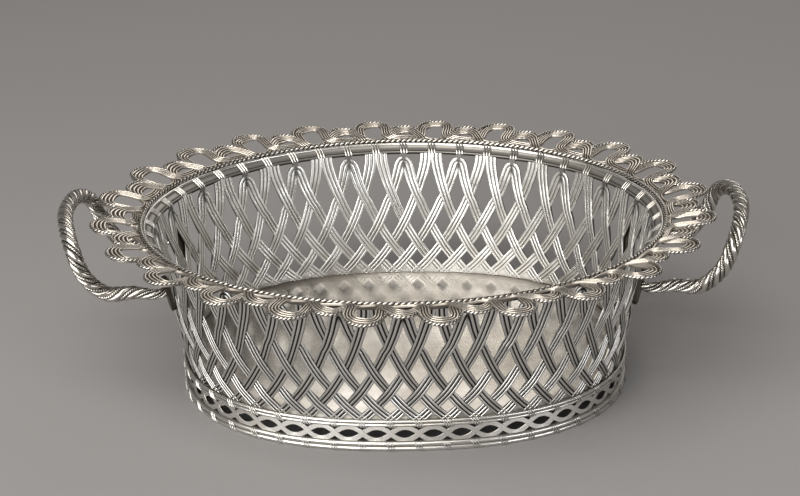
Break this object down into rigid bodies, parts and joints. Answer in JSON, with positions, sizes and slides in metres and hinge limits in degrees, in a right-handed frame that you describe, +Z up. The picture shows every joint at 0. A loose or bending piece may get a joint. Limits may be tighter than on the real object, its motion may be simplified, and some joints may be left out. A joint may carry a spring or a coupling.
{
  "type": "pierced oval silver basket",
  "caption": "Oval silver bread or cake basket with a pierced wicker-pattern wall, pierced foot, sloping scalloped border of interlaced ribbons and two fixed twisted-wire handles.",
  "frame": {"origin": "on the table under the middle of the foot", "axes": "+X through the handles along the basket's length, +Y across it with the front at -Y, +Z up"},
  "size_m": [0.3676, 0.2896, 0.1004],
  "materials": {
    "polished_silver": "polished sterling silver with dark tarnish left in the grooves",
    "chased_silver": "pierced and chased silver, bright reeds between dark grooves",
    "worn_silver": "satin silver with fine scratches from use"
  },
  "bodies": {
    "root": {"foot_lower_moulding": "polished_silver", "foot_band": "polished_silver", "foot_upper_moulding": "polished_silver", "floor_plate": "worn_silver", "wall_panel_1": "chased_silver", "wall_panel_2": "chased_silver", "wall_panel_3": "chased_silver", "wall_panel_4": "chased_silver", "rim_moulding": "polished_silver", "rim_rope": "polished_silver", "border_flange": "chased_silver", "border_edge_rope": "polished_silver", "right_handle_thick_wire_1": "polished_silver", "right_handle_thick_wire_2": "polished_silver", "right_handle_thick_wire_3": "polished_silver", "right_handle_fine_wire_1": "chased_silver", "right_handle_fine_wire_2": "chased_silver", "right_handle_fine_wire_3": "chased_silver", "left_handle_thick_wire_1": "polished_silver", "left_handle_thick_wire_2": "polished_silver", "left_handle_thick_wire_3": "polished_silver", "left_handle_fine_wire_1": "chased_silver", "left_handle_fine_wire_2": "chased_silver", "left_handle_fine_wire_3": "chased_silver", "right_handle_front_terminal": "chased_silver", "right_handle_back_terminal": "chased_silver", "left_handle_front_terminal": "chased_silver", "left_handle_back_terminal": "chased_silver"}
  },
  "joints": []
}
